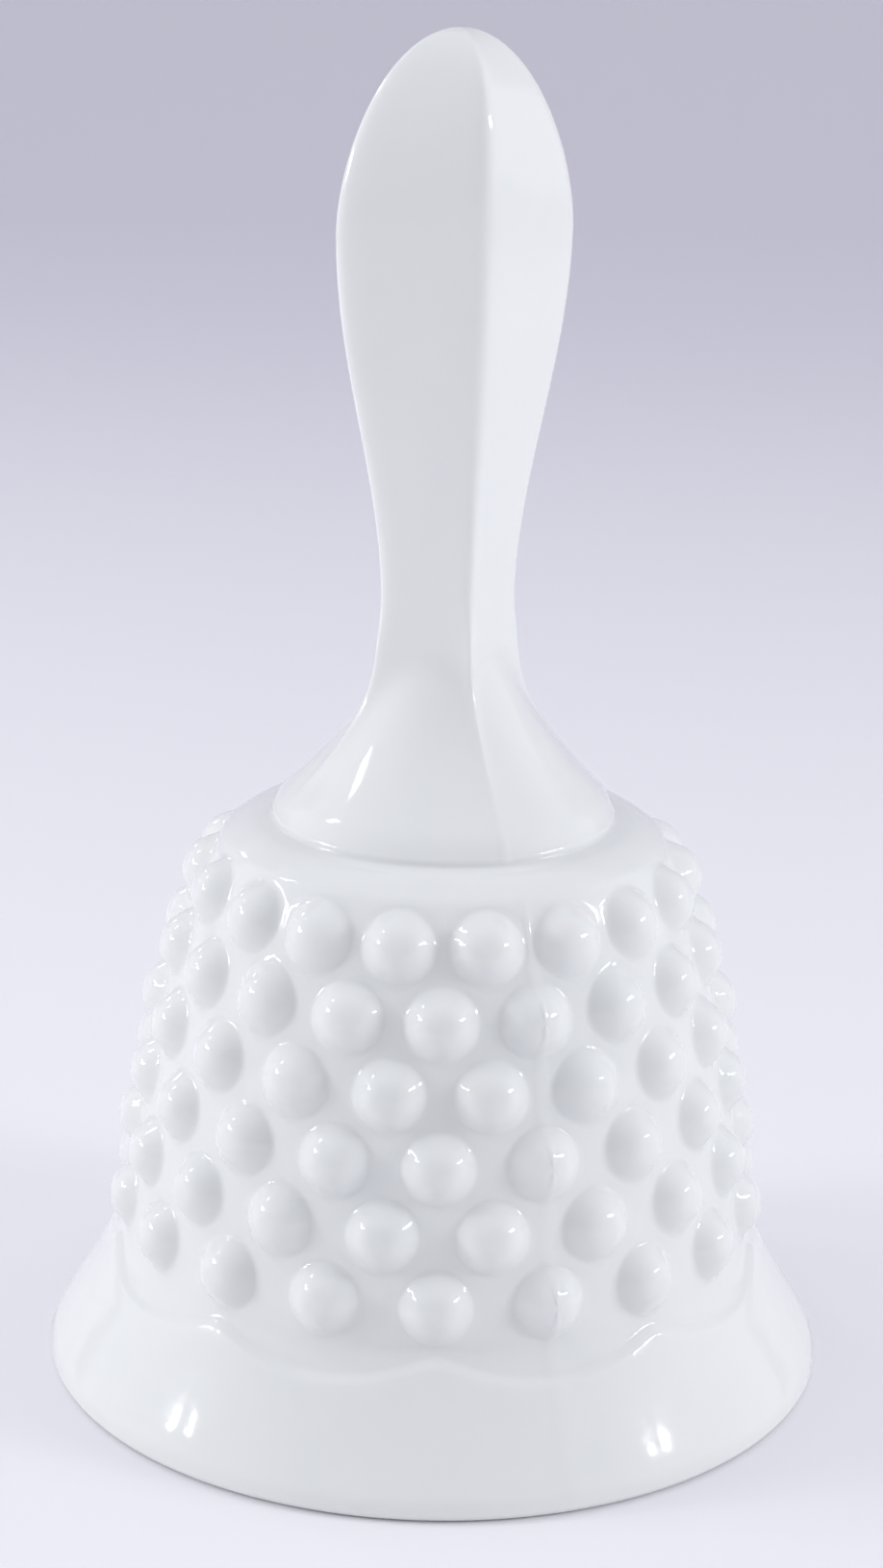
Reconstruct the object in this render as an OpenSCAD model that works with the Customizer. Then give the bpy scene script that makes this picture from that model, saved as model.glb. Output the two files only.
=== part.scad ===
// Hobnail hand bell of pressed opal glass with a clapper on a short wire chain.
// Origin: centre of the rim plane. +Z runs up the handle.

/* [Overall] */
// Height from the rim to the top of the handle
total_h = 152; // [145:1:160]
// Outside diameter of the mouth
mouth_d = 90; // [86:1:96]

/* [Wall] */
// Thickness of the wall
wall_t = 3.4; // [3:0.1:4]
// Outside radius of the wall where the skirt meets the lowest hobs
waist_r = 36.1; // [35:0.1:37]
// Straight taper of the wall over the hob rows
wall_taper = 6.9; // [6:0.1:8]
// Extra rounding of the wall towards the shoulder
wall_crown = 4; // [3:0.1:4.5]
// Radius of the rounded edges of the lip
lip_r = 1.4; // [1:0.1:1.6]
// How far the border round the skirt stands out from the wall
border_h = 0.6; // [0.4:0.1:0.8]
// Height of the upper edge of the border
border_z = 14.3; // [13:0.1:16]

/* [Hobs] */
// Hobs in a row
hob_cols = 18; // [16:2:18]
// Rows of hobs
hob_rows = 6; // [5:1:6]
// Height of the lowest row
hob_first_z = 20.6; // [20.4:0.1:20.8]
// Distance between rows
hob_pitch = 7.56; // [7.5:0.02:7.6]
// Diameter of a hob where it leaves the wall
hob_d = 7.2; // [6:0.1:7.3]
// Height of a hob
hob_h = 2.1; // [1.5:0.1:2.4]

/* [Shoulder] */
// Outside radius of the upper tier
tier_r = 19.3; // [19:0.1:19.6]
// Height of the foot of the upper tier
tier_z = 64.9; // [64.8:0.1:65.2]
// Height of the step between the two tiers
tier_step = 1.3; // [1.2:0.1:1.5]

/* [Handle] */
// Direction that the front ridge faces, turned from the front
ridge_turn = 20; // [18:1:22]
// Half width across the side ridges at the widest point
grip_r = 13.55; // [12:0.05:14]
// Half width across the side ridges at the neck
neck_r = 7.8; // [7.2:0.1:8.4]
// Front to back width as a share of the side to side width
grip_ratio = 0.68; // [0.6:0.01:0.9]
// Height of the widest point
grip_z = 131; // [128:1:134]
// Height of the neck
neck_z = 88.5; // [87:0.5:90]

/* [Hanger] */
// Radius of the flat seat in the crown of the cavity
seat_r = 9.2; // [9:0.1:10]
// Height of the seat
seat_z = 62.5; // [62:0.1:62.8]
// Thickness of the cement
cement_t = 2.6; // [2.4:0.1:3]
// Radius of the hanger plate
plate_r = 6; // [5:0.1:6.5]
// Thickness of the hanger plate
plate_t = 0.6; // [0.5:0.1:0.8]
// Radius of the hanger wire
eye_wire_r = 0.55; // [0.5:0.05:0.6]
// Radius of the bend in the hanger, along the middle of the wire
eye_bend_r = 1.9; // [1.8:0.1:2.1]

/* [Chain] */
// Links in the chain
links = 7; // [7:2:7]
// Radius of the link wire
link_wire_r = 0.45; // [0.4:0.05:0.45]
// Length of a link along the middle of its wire
link_len = 4.7; // [4.6:0.1:4.8]
// Radius of the ends of a link along the middle of its wire
link_end_r = 1.3; // [1.2:0.05:1.4]
// Play between wires that hang in each other
play = 0.05; // [0.03:0.01:0.08]

/* [Clapper] */
// Radius of the clapper ball
ball_r = 6.5; // [6:0.1:6.6]
// Height of the middle of the ball at rest
ball_z = 19.5; // [19.5:0.1:19.6]
// Radius of the pin's shank
pin_r = 0.6; // [0.5:0.05:0.6]
// Radius of the pin's eye along the middle of its wire
pin_eye_r = 1.5; // [1.5:0.05:1.6]
// Radius of the cap over the ball
cap_r = 2.2; // [2:0.1:2.4]
// Radius of the washer under the ball
washer_r = 2; // [1.8:0.1:2.2]

/* [Hidden] */
$fn = 96;

opal = "white";
cement_colour = "gainsboro";
nickel = "silver";
steel = "lightsteelblue";

mouth_r = mouth_d / 2;
lip_t = wall_t + border_h;                  // full thickness of the lip
hob_zone_z = hob_first_z - hob_pitch / 2;   // top of the skirt, foot of the lowest row
hob_zone_h = hob_rows * hob_pitch;
flare_power = 1.2;                          // how the skirt curves out to the mouth
skirt_steps = 6;
crown_z = 54.5;                             // where the cavity starts to close
crown_steps = 6;
hob_ball_r = (pow(hob_d / 2, 2) + pow(hob_h, 2)) / (2 * hob_h);
tier_edge = 0.8;                            // rounding of the tier's edge
neck_flare = 1.4;                           // growth of the handle's half width 10 mm below the neck
ridge_soft = 1.05;                          // how far the diagonal sides cut the ridges, as a share
plate_z = seat_z - cement_t - plate_t;
eye_z = plate_z - 1.7 - eye_bend_r;         // middle of the wire that the chain hangs on
leg_top = seat_z - 0.8;
boss_h = 0.4;                               // pressed boss under the hanger plate
boss_low_r = 2.9;
boss_high_r = 3.4;
bead_bore_r = pin_r + 0.06;
pin_wire_r = 0.5;
collar_r = 1.1;
head_r = 1.2;                               // headed lower end of the pin
ball_flat = 0.2;                            // height lost at each end of the bored ball
cap_t = 0.8;
cap_rim_t = 0.3;
cap_top_r = 1.3;
past = 1;                                   // how far a cut runs past the piece that it cuts
washer_t = 0.5;

// Outside radius of the border, from the lip to the hobs
function skirt_r(z) = waist_r + border_h
    + (mouth_r - waist_r - border_h)
    * pow(1 - (max(z, lip_r) - lip_r) / (hob_zone_z - lip_r), flare_power);

// Outside radius of the wall over the hob rows
function wall_r(z) = let (t = (z - hob_zone_z) / hob_zone_h)
    waist_r - wall_taper * t - wall_crown * pow(t, 4);

// Height of the wire that link n hangs on
function hinge_z(n) = n == 1 ? eye_z
    : eye_z + eye_wire_r + link_wire_r + play - link_len
    - (n - 2) * (link_len - 2 * link_wire_r - play);

// Half width of the handle across its side ridges
function ridge_r(z) = z < neck_z
    ? neck_r + neck_flare * pow((neck_z - z) / 10, 2)
    : neck_r + (grip_r - neck_r) * (1 - cos(180 * (z - neck_z) / (grip_z - neck_z))) / 2;

// Points of an arc
function arc(centre, r, from, to, steps) = [for (i = [0 : steps])
    let (a = from + (to - from) * i / steps)
    [centre[0] + r * cos(a), centre[1] + r * sin(a)]];

// Outer surface of the wall with the skirt and both tiers of the shoulder, about the Z axis
module wall_solid() {
    skirt = [for (i = [0 : skirt_steps])
        let (z = lip_r + (hob_zone_z - lip_r) * i / skirt_steps)
        [skirt_r(z) - border_h, z]];
    hob_zone = [for (i = [1 : hob_rows])
        let (z = hob_zone_z + hob_pitch * i)
        [wall_r(z), z]];
    tier = arc([tier_r - tier_edge, tier_z + tier_step - tier_edge], tier_edge, 0, 48, 4);
    flare = [[10.3, 76], [8.2, 78.4], [6.6, 81], [5.2, 85], [4.2, 91]];
    rotate_extrude()
        polygon(concat([[0, lip_r]], skirt, hob_zone, [[tier_r, tier_z]], tier, flare, [[0, 91]]));
}

// Plain flared border with the rounded lip
module border() {
    outer = [for (i = [0 : skirt_steps])
        let (z = lip_r + (border_z - lip_r) * i / skirt_steps)
        [skirt_r(z), z]];
    lip_out = arc([mouth_r - lip_r, lip_r], lip_r, -90, -15, 5);
    lip_in = arc([mouth_r - lip_t + lip_r, lip_r], lip_r, -180, -90, 5);
    inner = [for (p = [skirt_steps : -1 : 0]) [outer[p][0] - lip_t, outer[p][1]]];
    rotate_extrude() polygon(concat(lip_out, outer, inner, lip_in));
}

// One hob: a ball sunk into the wall, its axis along +X
module hob() {
    translate([hob_h - hob_ball_r, 0, 0]) rotate([0, -90, 0]) sphere(r = hob_ball_r);
}

// Six staggered rows of hobs, each square to the wall
module hobs() {
    for (row = [0 : hob_rows - 1]) {
        z = hob_first_z + hob_pitch * row;
        low = z - hob_pitch / 2;
        high = z + hob_pitch / 2;
        tilt = atan2(wall_r(low) - wall_r(high), hob_pitch);
        for (col = [0 : hob_cols - 1])
            rotate([0, 0, 360 / hob_cols * (col + (row % 2) / 2) - 90])
                translate([(wall_r(low) + wall_r(high)) / 2, 0, z])
                    rotate([0, -tilt, 0]) hob();
    }
}

// Four flat sides that meet in softened ridges
module handle() {
    foot_z = 72;
    lower = [for (i = [0 : 20]) let (z = foot_z + (grip_z - foot_z) * i / 20) [ridge_r(z), z]];
    dome = [for (i = [1 : 14]) let (a = 90 * i / 14)
        [grip_r * cos(a), grip_z + (total_h - grip_z) * sin(a)]];
    side = concat(lower, dome);
    face_turn = atan(grip_ratio);
    face_share = ridge_soft * grip_ratio / sqrt(1 + pow(grip_ratio, 2));
    // each entry: direction that the pair of sides faces, its distance as a share of ridge_r
    sides = [[0, grip_ratio], [90, 1], [face_turn, face_share], [-face_turn, face_share]];
    rotate([0, 0, ridge_turn - 90]) intersection_for(s = sides)
        rotate([0, 0, s[0]]) rotate([90, 0, 0])
            linear_extrude(height = 4 * grip_r, center = true)
                polygon(concat([for (p = side) [p[0] * s[1], p[1]]],
                    [for (i = [len(side) - 2 : -1 : 0]) [-side[i][0] * s[1], side[i][1]]]));
}

// Space inside the bell, with the flat seat for the cement at its top
module cavity() {
    mouth = [for (i = [0 : skirt_steps])
        let (z = lip_r + (hob_zone_z - lip_r) * i / skirt_steps)
        [skirt_r(z) - lip_t, z]];
    crown_r = wall_r(crown_z) - wall_t;
    side = [for (z = [hob_first_z + hob_pitch : hob_pitch : crown_z - hob_pitch / 2])
        [wall_r(z) - wall_t, z]];
    crown = [for (i = [0 : crown_steps]) let (a = 90 * i / crown_steps)
        [seat_r + (crown_r - seat_r) * cos(a), crown_z + (seat_z - crown_z) * sin(a)]];
    rotate_extrude() polygon(concat([[0, -past], [mouth[0][0], -past]], mouth, side, crown,
        [[0, seat_z]]));
}

// Bell and handle are one pressing
module glass_bell() {
    color(opal) union() {
        difference() {
            union() {
                wall_solid();
                hobs();
                handle();
            }
            cavity();
        }
        border();
    }
}

// Two legs of the hanger, as rods for the wire and as holes through the cement and the plate
module hanger_legs(r) {
    for (side = [-1, 1])
        translate([0, side * eye_bend_r, eye_z + eye_bend_r])
            cylinder(r = r, h = leg_top - eye_z - eye_bend_r);
}

module crown_cement() {
    color(cement_colour) difference() {
        translate([0, 0, seat_z - cement_t])
            cylinder(r1 = seat_r - 1.6, r2 = seat_r - 0.4, h = cement_t);
        hanger_legs(eye_wire_r);
    }
}

module hanger_plate() {
    color(nickel) difference() {
        translate([0, 0, plate_z]) union() {
            cylinder(r = plate_r, h = plate_t);
            translate([0, 0, -boss_h]) cylinder(r1 = boss_low_r, r2 = boss_high_r, h = boss_h);
        }
        hanger_legs(eye_wire_r);
    }
}

// Half of a wire ring that lies in the XZ plane, below its centre
module half_ring(bend_r, wire_r) {
    rotate([-90, 0, 0]) rotate_extrude(angle = 180) translate([bend_r, 0]) circle(r = wire_r);
}

module hanger_eye() {
    color(nickel) union() {
        hanger_legs(eye_wire_r);
        translate([0, 0, eye_z + eye_bend_r]) rotate([0, 0, 90]) half_ring(eye_bend_r, eye_wire_r);
    }
}

// One oval link; odd links lie in the XZ plane and even links in the YZ plane
module chain_link(n) {
    hung_on = n == 1 ? eye_wire_r : link_wire_r;
    top_z = hinge_z(n) + hung_on + link_wire_r + play;
    straight = link_len - 2 * link_end_r;
    color(nickel) translate([0, 0, top_z - link_len + link_end_r]) rotate([0, 0, n % 2 == 1 ? 0 : 90]) {
        half_ring(link_end_r, link_wire_r);
        translate([0, 0, straight]) mirror([0, 0, 1]) half_ring(link_end_r, link_wire_r);
        for (side = [-1, 1])
            translate([side * link_end_r, 0, 0]) cylinder(r = link_wire_r, h = straight);
    }
}

// Eye pin: eye, formed collar, shank and headed lower end
module clapper_pin() {
    eye_mid_z = hinge_z(links + 1) + link_wire_r + pin_wire_r + play - pin_eye_r;
    collar_z = ball_z + ball_r - ball_flat + play + cap_t;
    head_z = ball_z - ball_r + ball_flat - play - washer_t;
    color(nickel) union() {
        translate([0, 0, eye_mid_z]) rotate([0, 90, 0]) rotate_extrude()
            translate([pin_eye_r, 0]) circle(r = pin_wire_r);
        translate([0, 0, collar_z]) cylinder(r = collar_r, h = eye_mid_z - pin_eye_r - collar_z);
        translate([0, 0, head_z]) cylinder(r = pin_r, h = collar_z - head_z + 0.1);
        translate([0, 0, head_z]) rotate_extrude() intersection() {
            circle(r = head_r);
            translate([0, -head_r]) square([head_r, head_r]);
        }
    }
}

// Shallow stamped cap on the ball
module clapper_cap() {
    base_z = ball_z + ball_r - ball_flat + play;
    color(nickel) difference() {
        translate([0, 0, base_z]) union() {
            cylinder(r = cap_r, h = cap_rim_t);
            translate([0, 0, cap_rim_t])
                cylinder(r1 = cap_r - 0.2, r2 = cap_top_r, h = cap_t - cap_rim_t);
        }
        translate([0, 0, base_z - past]) cylinder(r = bead_bore_r, h = cap_t + 2 * past);
    }
}

module clapper_ball() {
    color(steel) difference() {
        translate([0, 0, ball_z]) intersection() {
            sphere(r = ball_r);
            cube([2 * ball_r, 2 * ball_r, 2 * (ball_r - ball_flat)], center = true);
        }
        translate([0, 0, ball_z - ball_r - past])
            cylinder(r = bead_bore_r, h = 2 * (ball_r + past));
    }
}

module clapper_washer() {
    top_z = ball_z - ball_r + ball_flat - play;
    color(nickel) difference() {
        translate([0, 0, top_z - washer_t]) cylinder(r = washer_r, h = washer_t);
        translate([0, 0, top_z - washer_t - past])
            cylinder(r = bead_bore_r, h = washer_t + 2 * past);
    }
}

glass_bell();
crown_cement();
hanger_plate();
hanger_eye();
chain_link(1);  // chain_link_1
chain_link(2);  // chain_link_2
chain_link(3);  // chain_link_3
chain_link(4);  // chain_link_4
chain_link(5);  // chain_link_5
chain_link(6);  // chain_link_6
chain_link(7);  // chain_link_7
clapper_pin();
clapper_cap();
clapper_ball();
clapper_washer();
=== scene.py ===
import math
import bpy
import bmesh
from mathutils import Matrix, Vector


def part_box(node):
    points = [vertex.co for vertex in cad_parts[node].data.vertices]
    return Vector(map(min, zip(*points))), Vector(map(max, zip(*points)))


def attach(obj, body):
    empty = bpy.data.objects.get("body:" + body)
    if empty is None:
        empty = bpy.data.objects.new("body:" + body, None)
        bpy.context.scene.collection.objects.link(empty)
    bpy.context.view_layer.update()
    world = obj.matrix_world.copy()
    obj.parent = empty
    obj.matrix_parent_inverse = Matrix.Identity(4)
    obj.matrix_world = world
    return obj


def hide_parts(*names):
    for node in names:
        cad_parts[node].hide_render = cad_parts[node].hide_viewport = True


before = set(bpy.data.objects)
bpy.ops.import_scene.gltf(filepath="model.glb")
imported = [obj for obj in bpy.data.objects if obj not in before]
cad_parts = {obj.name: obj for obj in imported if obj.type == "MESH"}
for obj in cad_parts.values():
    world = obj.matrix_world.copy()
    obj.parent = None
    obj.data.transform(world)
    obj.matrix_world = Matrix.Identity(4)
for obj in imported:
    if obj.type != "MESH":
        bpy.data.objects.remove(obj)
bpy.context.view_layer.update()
mm = 0.001
print("frame loaded:", len(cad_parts), "nodes")


def linear(hexColour):
    # sRGB hex to the linear colour that the shaders want
    parts = [int(hexColour[i:i + 2], 16) / 255 for i in (1, 3, 5)]
    return [p / 12.92 if p <= 0.04045 else ((p + 0.055) / 1.055) ** 2.4 for p in parts] + [1.0]


def addNode(tree, kind, settings=None, links=None):
    # settings: socket or attribute name to value; links: input name to an output socket
    node = tree.nodes.new(kind)
    for key, value in (settings or {}).items():
        if isinstance(key, int) or key in node.inputs:
            node.inputs[key].default_value = value
        else:
            setattr(node, key, value)
    for key, socket in (links or {}).items():
        tree.links.new(socket, node.inputs[key])
    return node


def smoothStep(t):
    t = min(max(t, 0.0), 1.0)
    return t * t * (3 - 2 * t)


def sheet(bm, profile, steps, tag):
    # turns a profile of (radius, height) pairs once round the Z axis; its rings are counted from tag
    ring = bm.verts.layers.int.get("ring")
    verts = [bm.verts.new((r, 0, z)) for r, z in profile]
    for i, vert in enumerate(verts):
        vert[ring] = tag + i
    edges = [bm.edges.new(pair) for pair in zip(verts, verts[1:])]
    bmesh.ops.spin(bm, geom=verts + edges, cent=(0, 0, 0), axis=(0, 0, 1), dvec=(0, 0, 0),
                   angle=math.tau, steps=steps, use_merge=True)


def arc(cx, cz, r, start, end, steps):
    angles = [math.radians(start + (end - start) * i / steps) for i in range(steps + 1)]
    return [(cx + r * math.cos(a), cz + r * math.sin(a)) for a in angles]


def toObject(bm, name, material):
    # turns the faces one way, smooths them and puts the mesh in the scene
    bmesh.ops.recalc_face_normals(bm, faces=bm.faces[:])
    for face in bm.faces:
        face.smooth = True
    mesh = bpy.data.meshes.new(name)
    bm.to_mesh(mesh)
    bm.free()
    mesh.materials.append(material)
    made = bpy.data.objects.new(name, mesh)
    bpy.context.scene.collection.objects.link(made)
    return made


view = {"distance": 371.99, "height": 185.18, "down": 17.434, "roll": 1.2015, "side": -0.046,
        "turn": -0.56, "lens": 79.51}


def makeCamera():
    down, side = math.radians(view["down"]), math.radians(view["side"])
    roll = math.radians(view["roll"])
    forward = Vector((math.sin(side) * math.cos(down), math.cos(side) * math.cos(down), -math.sin(down)))
    right = Vector((math.cos(side), -math.sin(side), 0))
    up = right.cross(forward)
    turnedRight = right * math.cos(roll) + up * math.sin(roll)
    turnedUp = up * math.cos(roll) - right * math.sin(roll)
    pose = Matrix((turnedRight, turnedUp, -forward)).transposed().to_4x4()
    pose.translation = Vector((0, -view["distance"], view["height"])) * mm
    camData = bpy.data.cameras.new("productCamera")
    camData.lens = view["lens"]
    camData.clip_start = 0.01
    cam = bpy.data.objects.new("productCamera", camData)
    cam.matrix_world = Matrix.Rotation(math.radians(view["turn"]), 4, "Z") @ pose
    bpy.context.scene.collection.objects.link(cam)
    bpy.context.scene.camera = cam


makeCamera()
print("camera placed")


def newMaterial(name):
    mat = bpy.data.materials.new(name)
    mat.use_nodes = True
    tree = mat.node_tree
    tree.nodes.clear()
    out = addNode(tree, "ShaderNodeOutputMaterial")
    shader = addNode(tree, "ShaderNodeBsdfPrincipled")
    tree.links.new(shader.outputs[0], out.inputs["Surface"])
    coords = addNode(tree, "ShaderNodeTexCoord")
    return mat, tree, shader, coords.outputs["Object"]


opalLook = {"milk": "#f4f3f2", "thin": "#ecefee", "swirlMm": 14, "waveMm": 9, "skinMm": 1.4,
            "depthMm": 1.6, "milkiness": 0.4, "brightest": 0.05, "dullest": 0.1, "relief": 0.22}


def opalGlass():
    # opal soda glass, pressed in a mould: milky to the core, fire-bright skin with faint chill waves
    mat, tree, shader, place = newMaterial("pressedOpalGlass")
    swirl = addNode(tree, "ShaderNodeTexNoise", {"Scale": 1 / (opalLook["swirlMm"] * mm), "Detail": 3.0,
                                                 "Roughness": 0.5, "Distortion": 0.8}, {"Vector": place})
    milk = addNode(tree, "ShaderNodeMix", {"data_type": "RGBA", 6: linear(opalLook["thin"]),
                                           7: linear(opalLook["milk"])}, {0: swirl.outputs[0]})
    wave = addNode(tree, "ShaderNodeTexNoise", {"Scale": 1 / (opalLook["waveMm"] * mm), "Detail": 2.0,
                                                "Roughness": 0.4}, {"Vector": place})
    skin = addNode(tree, "ShaderNodeTexNoise", {"Scale": 1 / (opalLook["skinMm"] * mm), "Detail": 2.0},
                   {"Vector": place})
    both = addNode(tree, "ShaderNodeMath", {"operation": "MULTIPLY_ADD", 1: 0.06},
                   {0: skin.outputs[0], 2: wave.outputs[0]})
    bump = addNode(tree, "ShaderNodeBump", {"Strength": opalLook["relief"], "Distance": 0.25 * mm},
                   {"Height": both.outputs[0]})
    rough = addNode(tree, "ShaderNodeMapRange", {"From Min": 0.3, "From Max": 0.7,
                                                 "To Min": opalLook["brightest"],
                                                 "To Max": opalLook["dullest"]}, {"Value": skin.outputs[0]})
    shader.inputs["IOR"].default_value = 1.5
    shader.inputs["Subsurface Weight"].default_value = opalLook["milkiness"]
    shader.inputs["Subsurface Radius"].default_value = (1.0, 0.95, 0.9)
    shader.inputs["Subsurface Scale"].default_value = opalLook["depthMm"] * mm
    tree.links.new(milk.outputs[2], shader.inputs["Base Color"])
    tree.links.new(rough.outputs[0], shader.inputs["Roughness"])
    tree.links.new(bump.outputs[0], shader.inputs["Normal"])
    return mat


opal = opalGlass()


glass = {
    "hobColumns": 18, "hobRows": 6, "hobFirst": 20.6, "hobPitch": 7.56,
    "hobFoot": 4.2, "hobHeight": 2.4, "hobBelly": 2.8, "hobFlank": 1.6, "slopeSteps": 7, "sideSteps": 3,
    "cellPoint": 6.15,                                # from a hob's middle up to the point of its cell
    "waist": 36.1, "taper": 6.9, "crown": 4.0,        # the wall over the hob rows
    "border": 0.6, "borderLow": 12.7, "borderRise": 3.0, "borderEase": 0.6,
    "scallopReach": 0.84, "scallopPoint": 0.09,       # radius of the scallops' arcs, rounding of their points
    "flarePower": 1.2, "lip": 1.4, "wall": 3.4,
    "tierRadius": 19.3, "tierFoot": 64.9, "tierStep": 1.3, "tierEdge": 0.8, "tierFillet": 0.5,
    "ridgeTurn": 20, "gripSide": 13.55, "gripFront": 9.2, "gripHeight": 131,
    "neckSide": 7.75, "neckFront": 6.8, "neckHeight": 88.5, "neckSpread": 0.9, "ridgeSharpness": 11,
    "topFront": 3.2, "topSide": 1.65,                 # how blunt the handle's top is, seen both ways
    "flareFoot": 14.6, "flareNeck": 4.0, "flareBend": 1.8, "flareTop": 91,
    "cavityTop": 62.5, "cavityCrown": 54.5, "seat": 9.2,
    "seam": 0.16, "crease": 0.5,                      # mould seam, and the ridges' foot on the shoulder
}
glassLow, glassHigh = [Vector(corner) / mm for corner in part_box("glass_bell")]
topZ = glassHigh.z
mouthR = (glassHigh.x - glassLow.x) / 2
hobZoneZ = glass["hobFirst"] - glass["hobPitch"] / 2
hobZoneH = glass["hobRows"] * glass["hobPitch"]
hobEdge = 0.55  # how far the hob rows' mesh runs past the zone at each end
columns = glass["hobColumns"] * glass["slopeSteps"] * 2
lipT = glass["wall"] + glass["border"]


def skirtRadius(z):
    t = (max(z, glass["lip"]) - glass["lip"]) / (hobZoneZ - glass["lip"])
    top = glass["waist"] + glass["border"]
    return top + (mouthR - top) * max(1 - t, 0) ** glass["flarePower"]


def wallRadius(z):
    t = (z - hobZoneZ) / hobZoneH
    return glass["waist"] - glass["taper"] * t - glass["crown"] * t ** 4


def borderEdge(turn):
    # height of the scalloped edge at an angle from the front, where one of its points is
    step = math.tau / (glass["hobColumns"] / 2)
    offPoint = 1 - abs((turn / step) % 1.0 - 0.5) * 2  # 0 at a point, 1 at the middle of a scallop
    along = 1 - math.hypot(offPoint, glass["scallopPoint"])
    half = mouthR * glass["scallopReach"] * math.sin(step / 2)
    bend = (half ** 2 + glass["borderRise"] ** 2) / (2 * glass["borderRise"])
    return glass["borderLow"] + bend - math.sqrt(bend ** 2 - (along * half) ** 2)


def cellOutline(halfW, row):
    # the six-sided cell round a hob; the end rows have a straight edge where the zone ends
    pitch, slope, side = glass["hobPitch"], glass["slopeSteps"], glass["sideSteps"]
    far = glass["cellPoint"]
    near = pitch - far
    flat = pitch / 2 + hobEdge
    up = [(0, far), (halfW, near)] if row < glass["hobRows"] - 1 else [(0, flat), (halfW, flat)]
    low = [(0, -far), (halfW, -near)] if row > 0 else [(0, -flat), (halfW, -flat)]
    corners = [low[1], up[1], up[0], (-halfW, up[1][1]), (-halfW, low[1][1]), low[0]]
    counts = [side, slope, slope, side, slope, slope]
    outline = []
    for i, count in enumerate(counts):
        (x0, y0), (x1, y1) = corners[i], corners[(i + 1) % 6]
        outline += [(x0 + (x1 - x0) * k / count, y0 + (y1 - y0) * k / count) for k in range(count)]
    return outline


def hobCell(row):
    # one hob with the piece of wall around it, wrapped on to the bell so that it faces -Y
    midZ = glass["hobFirst"] + row * glass["hobPitch"]
    midR = wallRadius(midZ)
    tilt = math.atan2(wallRadius(midZ - 1) - wallRadius(midZ + 1), 2)
    outline = cellOutline(midR * math.pi / glass["hobColumns"], row)
    regular = cellOutline(midR * math.pi / glass["hobColumns"], 1)
    foot, hobH = glass["hobFoot"], glass["hobHeight"]
    # rings from the outline to the top: share of the outline, radius, height
    rings = [(1.0, 0, 0), (0.4, foot, 0)]
    for share in (1.0, 0.94, 0.88, 0.82, 0.76, 0.69, 0.61, 0.52, 0.42, 0.3, 0.16):
        rings.append((0, foot * share, hobH * (1 - share ** glass["hobBelly"]) ** glass["hobFlank"]))
    bm = bmesh.new()
    bmesh.ops.create_circle(bm, segments=len(outline), radius=1.0, cap_ends=True)
    face = bm.faces[:][0]
    loops = []
    for ring in rings:
        if loops:
            bmesh.ops.inset_individual(bm, faces=[face], thickness=0.02, use_even_offset=True)
        loops.append(sorted(face.verts, key=lambda v: math.atan2(v.co.y, v.co.x)))
    centre = bmesh.ops.poke(bm, faces=[face])["verts"][0]
    centre.co = (0, 0, hobH)
    first = min(range(len(regular)), key=lambda i: math.atan2(regular[i][1], regular[i][0]))
    for loop, (share, radius, height) in zip(loops, rings):
        for i, vert in enumerate(loop):
            k = (first + i) % len(outline)
            turn = math.atan2(regular[k][1], regular[k][0])
            x = outline[k][0] * share + radius * math.cos(turn) * (1 - share)
            y = outline[k][1] * share + radius * math.sin(turn) * math.cos(tilt) * (1 - share)
            vert.co = (x, y, height)
    for vert in bm.verts:
        across, up, out = vert.co
        turn = across / midR
        r = wallRadius(midZ + up) + out * math.cos(tilt)
        vert.co = (r * math.sin(turn), -r * math.cos(turn), midZ + up + out * math.sin(tilt))
    return bm


def hobRow(bm, row):
    # one cell, copied round the bell; every other row starts half a step on
    cell = hobCell(row)
    mesh = bpy.data.meshes.new("cell")
    cell.to_mesh(mesh)
    cell.free()
    older = len(bm.verts)
    bm.from_mesh(mesh)
    bpy.data.meshes.remove(mesh)
    bm.verts.ensure_lookup_table()
    verts = bm.verts[older:]
    own = set(verts)
    step = math.tau / glass["hobColumns"]
    bmesh.ops.rotate(bm, verts=verts, cent=(0, 0, 0),
                     matrix=Matrix.Rotation(step * (row % 2) / 2, 3, "Z"))
    geom = verts + [e for e in bm.edges if e.verts[0] in own]
    geom += [f for f in bm.faces if f.verts[0] in own]
    bmesh.ops.spin(bm, geom=geom, cent=(0, 0, 0), axis=(0, 0, 1), dvec=(0, 0, 0),
                   angle=step * (glass["hobColumns"] - 1), steps=glass["hobColumns"] - 1, use_duplicate=True)


def halfWidth(z, grip, neck, bluntness):
    # half width of the handle across a pair of its ridges
    gripZ, neckZ = glass["gripHeight"], glass["neckHeight"]
    if z >= gripZ:
        return grip * max(1 - ((z - gripZ) / (topZ - gripZ)) ** bluntness, 0) ** 0.5
    if z >= neckZ:
        return neck + (grip - neck) * (1 - math.cos(math.pi * (z - neckZ) / (gripZ - neckZ))) / 2
    return neck + glass["neckSpread"] * ((neckZ - z) / 10) ** 2


def handleRadius(turn, z):
    # four flat sides with softened ridges, at an angle from the front ridge
    sharp = glass["ridgeSharpness"]
    lift = 2 ** (1 / sharp)
    front = halfWidth(z, glass["gripFront"], glass["neckFront"], glass["topFront"]) * lift
    side = halfWidth(z, glass["gripSide"], glass["neckSide"], glass["topSide"]) * lift
    if min(front, side) < 0.001:
        return 0.0
    one = abs(math.cos(turn) / front + math.sin(turn) / side)
    two = abs(math.cos(turn) / front - math.sin(turn) / side)
    return (one ** sharp + two ** sharp) ** (-1 / sharp)


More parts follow.
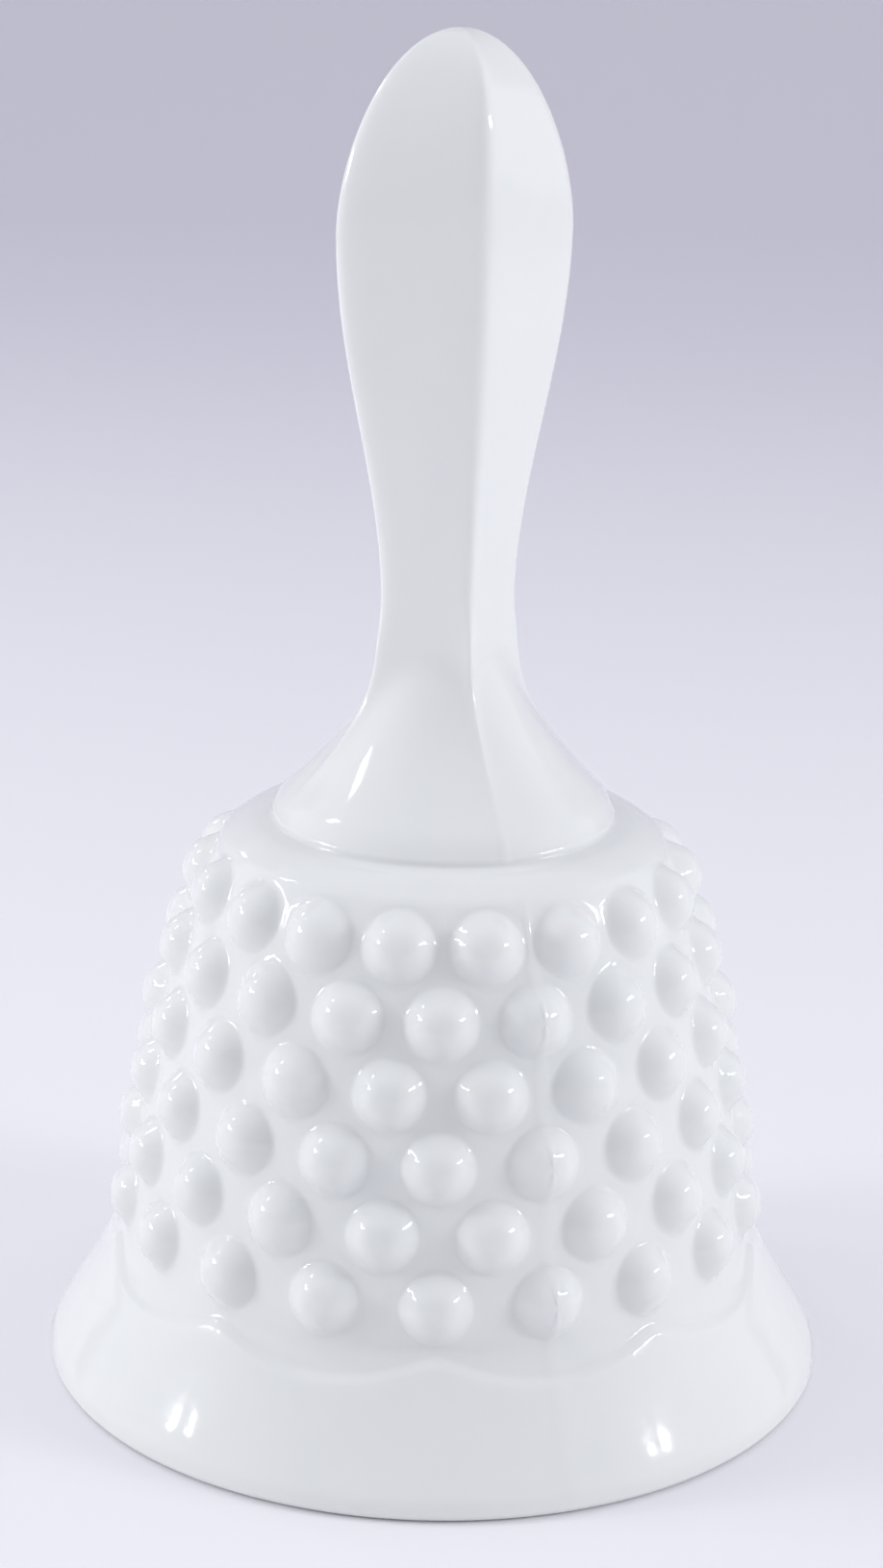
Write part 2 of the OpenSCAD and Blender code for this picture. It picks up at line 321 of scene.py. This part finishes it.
def flareRadius(z):
    # the upper tier's cone, sweeping up into the neck
    start = glass["tierFoot"] + glass["tierStep"] + 1.0
    t = min(max((z - start) / (glass["flareTop"] - start), 0), 1)
    core = glass["flareNeck"] * (1 - smoothStep((z - 80) / 12))
    return glass["flareFoot"] * (1 - t) ** glass["flareBend"] + core


def makeSkirt(bm):
    # skirt with its scalloped border, the lip and the inside up to the flat seat
    lip, tag = glass["lip"], 1
    rows = [("above", 0.0), ("above", 0.5)]
    rows += [("edge", glass["borderEase"] * (1 - i / 3)) for i in range(7)]
    rows += [("below", i / 8) for i in range(1, 9)]
    lipOuter = arc(mouthR - lip, lip, lip, -12, -90, 6)
    lipInner = arc(mouthR - lipT + lip, lip, lip, -90, -180, 6)
    inner = [(skirtRadius(z) - lipT, z) for z in [lip + (hobZoneZ - lip) * i / 6 for i in range(1, 7)]]
    crownZ = glass["cavityCrown"]
    inner += [(wallRadius(z) - glass["wall"], z)
              for z in [hobZoneZ + (crownZ - hobZoneZ) * i / 10 for i in range(1, 11)]]
    crownR, seat = wallRadius(crownZ) - glass["wall"], glass["seat"]
    for i in range(1, 9):
        a = math.pi / 2 * i / 8
        inner.append((seat + (crownR - seat) * math.cos(a),
                      crownZ + (glass["cavityTop"] - crownZ) * math.sin(a)))
    inner += [(seat * 0.5, glass["cavityTop"]), (0.0, glass["cavityTop"])]
    sheet(bm, [(40, 15)] * len(rows) + lipOuter + lipInner + inner, columns, tag)
    ring = bm.verts.layers.int.get("ring")
    joinR, joinZ = lipOuter[0]
    ease = glass["borderEase"]
    for vert in bm.verts:
        if not 0 < vert[ring] <= len(rows):
            continue
        kind, value = rows[vert[ring] - tag]
        turn = math.atan2(vert.co.x, -vert.co.y)
        edge = borderEdge(turn)
        foot = hobZoneZ - hobEdge
        if kind == "above":
            z = foot + (edge + ease - foot) * value
            r = skirtRadius(z) - glass["border"] if value else wallRadius(z)
        elif kind == "edge":
            z = edge + value
            r = skirtRadius(z) - glass["border"] * smoothStep((value + ease) / (2 * ease))
        else:
            z = edge - ease + (joinZ - edge + ease) * value
            r = skirtRadius(z) + (joinR - skirtRadius(joinZ)) * smoothStep((value - 0.6) / 0.4)
        vert.co = (r * math.sin(turn), -r * math.cos(turn), z)


def makeShoulder(bm):
    # lower tier, step and upper tier, then the four-sided handle up to its point
    start = hobZoneZ + hobZoneH + hobEdge
    foot, tierR, edge = glass["tierFoot"], glass["tierRadius"], glass["tierEdge"]
    profile = [(wallRadius(start), start)]
    for i in range(1, 7):
        t = i / 7.5
        profile.append((wallRadius(start) + (tierR + 0.7 - wallRadius(start)) * t,
                        start + (foot - start) * math.sin(t * math.pi / 2) ** 0.95))
    fillet = glass["tierFillet"]
    profile += arc(tierR + fillet, foot + fillet, fillet, -105, -175, 4)
    profile += arc(tierR - edge, foot + glass["tierStep"] - edge, edge, 0, 48, 5)
    low = profile[-1][1]
    neck, grip = glass["flareTop"], glass["gripHeight"]
    heights = [low + (neck - low) * i / 22 for i in range(1, 23)]
    heights += [neck + (grip - neck) * i / 14 for i in range(1, 15)]
    heights += [grip + (topZ - grip) * math.sin(math.pi / 2 * i / 18) for i in range(1, 18)]
    plain = len(profile)
    tag = 1000
    sheet(bm, profile + [(10.0, z) for z in heights] + [(0.0, topZ)], columns, tag)
    ring = bm.verts.layers.int.get("ring")
    for vert in bm.verts:
        if vert[ring] < tag + plain or vert.co.z > topZ - 0.001:
            continue
        turn = math.atan2(vert.co.x, -vert.co.y)
        z = vert.co.z
        grip = handleRadius(turn - math.radians(glass["ridgeTurn"]), z)
        away = (turn - math.radians(glass["ridgeTurn"]) + math.pi / 4) % (math.pi / 2) - math.pi / 4
        crease = glass["crease"] * smoothStep((92 - z) / 8) / (1 + (away / math.radians(4)) ** 2)
        r = (flareRadius(z) ** 8 + grip ** 8) ** 0.125 + crease * smoothStep((z - 64) / 10)
        vert.co = (r * math.sin(turn), -r * math.cos(turn), z)


def raiseSeam(bm):
    # the mould leaves a fine raised line down the front right and the back left
    for vert in bm.verts:
        z = vert.co.z
        turn = math.atan2(vert.co.x, -vert.co.y)
        off = (turn - math.radians(glass["ridgeTurn"]) + math.pi / 2) % math.pi - math.pi / 2
        r = math.hypot(vert.co.x, vert.co.y)
        outside = z > 60 or r > (wallRadius(z) if z > hobZoneZ else skirtRadius(z)) - 1.5
        if abs(off) < 0.004 and 2 < z < 78 and outside:
            vert.co.x += glass["seam"] * math.sin(turn)
            vert.co.y -= glass["seam"] * math.cos(turn)


def glassBell():
    # joins the cells, the skirt and the shoulder into one closed skin, made in millimetres
    bm = bmesh.new()
    bm.verts.layers.int.new("ring")
    for row in range(glass["hobRows"]):
        hobRow(bm, row)
    makeSkirt(bm)
    makeShoulder(bm)
    bmesh.ops.remove_doubles(bm, verts=bm.verts[:], dist=0.004)
    raiseSeam(bm)
    bmesh.ops.remove_doubles(bm, verts=bm.verts[:], dist=0.002)
    bmesh.ops.dissolve_degenerate(bm, dist=0.0004, edges=bm.edges[:])
    bmesh.ops.scale(bm, vec=(mm, mm, mm), verts=bm.verts[:])
    piece = toObject(bm, "glassBellAndHandle", opal)
    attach(piece, "bell")
    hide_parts("glass_bell")
    print("glass made:", len(piece.data.polygons), "faces")


glassBell()


hardware = {"nickel": "#cfcac0", "wireNickel": "#c9c4ba", "steel": "#c4c6c9", "cement": "#d8d4c9",
            "cementSpeck": "#a9a397", "drawLineMm": 0.12, "grainMm": 0.7}


def metal(name, colour, rough, spotMm, bumpMm, stretch=(1, 1, 1)):
    # cloudy tarnish in colour and gloss, over a fine finish whose marks may be stretched one way
    mat, tree, shader, place = newMaterial(name)
    laid = addNode(tree, "ShaderNodeMapping", {"Scale": stretch}, {"Vector": place})
    cloud = addNode(tree, "ShaderNodeTexNoise", {"Scale": 1 / (spotMm * mm), "Detail": 4.0},
                    {"Vector": place})
    marks = addNode(tree, "ShaderNodeTexNoise", {"Scale": 1 / (hardware["drawLineMm"] * mm),
                                                 "Detail": 2.0}, {"Vector": laid.outputs[0]})
    base = linear(colour)
    dull = [c * 0.72 for c in base[:3]] + [1.0]
    tone = addNode(tree, "ShaderNodeMix", {"data_type": "RGBA", 6: dull, 7: base}, {0: cloud.outputs[0]})
    gloss = addNode(tree, "ShaderNodeMapRange", {"From Min": 0.3, "From Max": 0.7, "To Min": rough * 1.6,
                                                 "To Max": rough * 0.8}, {"Value": cloud.outputs[0]})
    bump = addNode(tree, "ShaderNodeBump", {"Strength": 0.35, "Distance": bumpMm * mm},
                   {"Height": marks.outputs[0]})
    shader.inputs["Metallic"].default_value = 1.0
    tree.links.new(tone.outputs[2], shader.inputs["Base Color"])
    tree.links.new(gloss.outputs[0], shader.inputs["Roughness"])
    tree.links.new(bump.outputs[0], shader.inputs["Normal"])
    return mat


def castCement():
    # white cement, poured and set: chalky, with fine sand grains and small pits
    mat, tree, shader, place = newMaterial("castCement")
    grains = addNode(tree, "ShaderNodeTexVoronoi", {"Scale": 1 / (hardware["grainMm"] * mm)},
                     {"Vector": place})
    ramp = addNode(tree, "ShaderNodeMapRange", {"From Min": 0.0, "From Max": 0.25},
                   {"Value": grains.outputs[0]})
    tone = addNode(tree, "ShaderNodeMix", {"data_type": "RGBA", 6: linear(hardware["cementSpeck"]),
                                           7: linear(hardware["cement"])}, {0: ramp.outputs[0]})
    pits = addNode(tree, "ShaderNodeTexNoise", {"Scale": 1 / (1.1 * mm), "Detail": 5.0}, {"Vector": place})
    bump = addNode(tree, "ShaderNodeBump", {"Strength": 0.6, "Distance": 0.12 * mm},
                   {"Height": pits.outputs[0]})
    shader.inputs["Roughness"].default_value = 0.88
    tree.links.new(tone.outputs[2], shader.inputs["Base Color"])
    tree.links.new(bump.outputs[0], shader.inputs["Normal"])
    return mat


# stamped brass, nickel plated: soft mirror with rolling marks
plate = metal("stampedNickelPlate", hardware["nickel"], 0.16, 1.6, 0.01, (1, 0.1, 0.1))
# drawn wire, nickel plated: bright with faint lines along the draw
wire = metal("drawnNickelWire", hardware["wireNickel"], 0.2, 0.9, 0.012, (1, 1, 0.15))
# turned and polished steel: cool mirror with faint rings of the tool round its axis
ball = metal("turnedSteelBall", hardware["steel"], 0.12, 3.0, 0.008, (0.08, 0.08, 1))
cement = castCement()

finishes = {"crown_cement": cement, "hanger_plate": plate, "hanger_eye": wire, "clapper_pin": wire,
            "clapper_cap": plate, "clapper_washer": plate, "clapper_ball": ball}
for name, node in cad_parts.items():
    if name == "glass_bell":
        continue
    node.data.materials.clear()
    node.data.materials.append(finishes.get(name, wire))
print("hardware finished")


def makeSweep(name, profile, half, floorAndShadedBack):
    # a pale card bent along a profile of (depth, height) pairs, paler at the front than at the back: the
    # darker back is painted shade where the card curves up
    bm = bmesh.new()
    verts = [bm.verts.new((-half, y, z)) for y, z in profile]
    edges = [bm.edges.new(pair) for pair in zip(verts, verts[1:])]
    made = bmesh.ops.extrude_edge_only(bm, edges=edges)["geom"]
    moved = [v for v in made if isinstance(v, bmesh.types.BMVert)]
    bmesh.ops.translate(bm, vec=(2 * half, 0, 0), verts=moved)
    mat, tree, shader, place = newMaterial(name + "Card")
    parts = addNode(tree, "ShaderNodeSeparateXYZ", None, {0: place})
    # painted shade: along the card's depth the floor colour blends into the darker back colour
    share = addNode(tree, "ShaderNodeMapRange", {"From Min": 0.05, "From Max": 0.75,
                                                 "interpolation_type": "SMOOTHSTEP"},
                    {"Value": parts.outputs[1]})
    tone = addNode(tree, "ShaderNodeMix", {"data_type": "RGBA", 6: linear(floorAndShadedBack[0]),
                                           7: linear(floorAndShadedBack[1])}, {0: share.outputs[0]})
    tree.links.new(tone.outputs[2], shader.inputs["Base Color"])
    shader.inputs["Roughness"].default_value = 0.85
    toObject(bm, name, mat)


def makeLight(name, place, aim, width, height, watts):
    data = bpy.data.lights.new(name, "AREA")
    data.shape = "RECTANGLE"
    data.size, data.size_y = width, height
    data.energy = watts
    lamp = bpy.data.objects.new(name, data)
    lamp.location = place
    lamp.rotation_euler = (Vector(aim) - Vector(place)).to_track_quat("-Z", "Y").to_euler()
    bpy.context.scene.collection.objects.link(lamp)


# floor and back colour the sweep card; the darker back colour is painted shade for the curved-up backdrop
studio = {"sky": "#f4f6fd", "skyStrength": 0.975, "nearShare": 0.32, "floor": "#f5f4f8", "back": "#e4e1eb"}


def makeWorld():
    # a white tent all round, dimmer where the open side of it is
    world = bpy.data.worlds.new("whiteTent")
    world.use_nodes = True
    tree = world.node_tree
    tree.nodes.clear()
    coords = addNode(tree, "ShaderNodeTexCoord")
    parts = addNode(tree, "ShaderNodeSeparateXYZ", None, {0: coords.outputs["Generated"]})
    level = addNode(tree, "ShaderNodeMapRange", {"From Min": -1.0, "From Max": -0.2,
                                                 "To Min": studio["skyStrength"] * studio["nearShare"],
                                                 "To Max": studio["skyStrength"]},
                    {"Value": parts.outputs[1]})
    back = addNode(tree, "ShaderNodeBackground", {"Color": linear(studio["sky"])},
                   {"Strength": level.outputs[0]})
    out = addNode(tree, "ShaderNodeOutputWorld")
    tree.links.new(back.outputs[0], out.inputs[0])
    bpy.context.scene.world = world


bend = arc(0.9, 0.5, 0.5, -90, 0, 10)
makeSweep("paleSweep", [(-1.2, 0.0)] + bend + [(1.4, 2.0)], 2.0, (studio["floor"], studio["back"]))
makeWorld()
# each lamp is a bare pane: side, depth, height, width, height of the pane, watts
panes = [
    ("leftWindow", -0.72, -0.07, 0.275, 0.09, 0.055, 0.75),
    ("leftSlot", -0.7, -0.17, 0.3, 0.03, 0.05, 0.25),
    ("leftStrip", -0.71, 0.02, 0.33, 0.09, 0.02, 0.25),
    ("leftRear", -0.46, 0.51, 0.39, 0.07, 0.04, 0.16),
    ("leftHigh", -0.56, 0.13, 0.55, 0.05, 0.09, 0.2),
    ("rightWindow", 0.7, -0.18, 0.315, 0.1, 0.05, 0.8),
    ("rightSlot", 0.71, -0.06, 0.29, 0.025, 0.05, 0.25),
    ("rightStrip", 0.68, -0.27, 0.34, 0.03, 0.04, 0.25),
]
for name, x, y, z, width, height, watts in panes:
    makeLight(name, (x, y, z), (0, 0, 0.05), width, height, watts)
bpy.context.scene.view_settings.view_transform = "Standard"
print("stage and lights ready")
